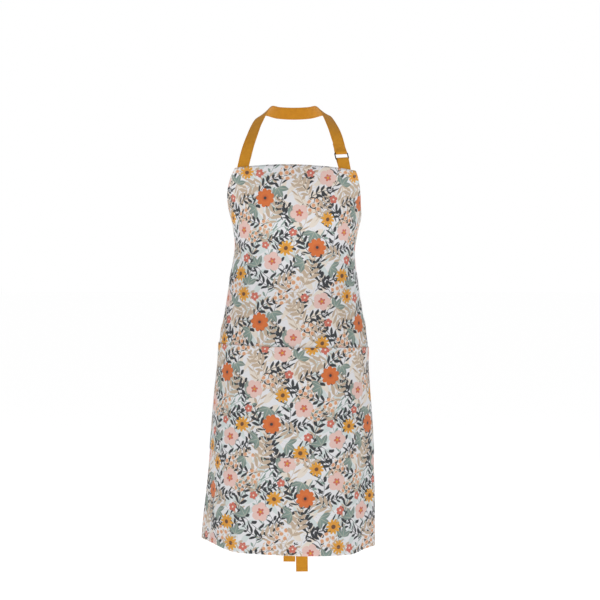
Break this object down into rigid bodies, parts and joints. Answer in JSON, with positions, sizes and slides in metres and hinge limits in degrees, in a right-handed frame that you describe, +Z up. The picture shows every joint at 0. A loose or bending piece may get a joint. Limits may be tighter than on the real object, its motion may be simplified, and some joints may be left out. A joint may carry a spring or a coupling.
{
  "type": "bib apron",
  "caption": "Bib apron of printed cotton in its worn form, with a wide patch pocket, an adjustable neck strap on a metal ring, and ties knotted behind the waist.",
  "frame": {"origin": "middle of the neck strap's inner face at the nape, where the apron hangs on the wearer", "axes": "+Z up; -Y is the way the wearer faces, from the nape towards the bib; +X is to the right of someone who looks at the wearer"},
  "size_m": [0.3973, 0.2871, 1.0921],
  "materials": {
    "printed_cotton": null,
    "ochre_tape": "matt woven cotton tape, mustard ochre, stitched along its edges",
    "aged_bronze": "dark aged bronze, satin, slightly worn at the edges"
  },
  "bodies": {
    "root": {"apron_panel": "printed_cotton", "pocket": "printed_cotton", "neck_strap_long": "ochre_tape", "neck_strap_short": "ochre_tape", "strap_ring": "aged_bronze", "waist_tie_left": "ochre_tape", "waist_tie_right": "ochre_tape", "tie_knot": "ochre_tape", "tie_tail_left": "ochre_tape", "tie_tail_right": "ochre_tape"}
  },
  "joints": []
}
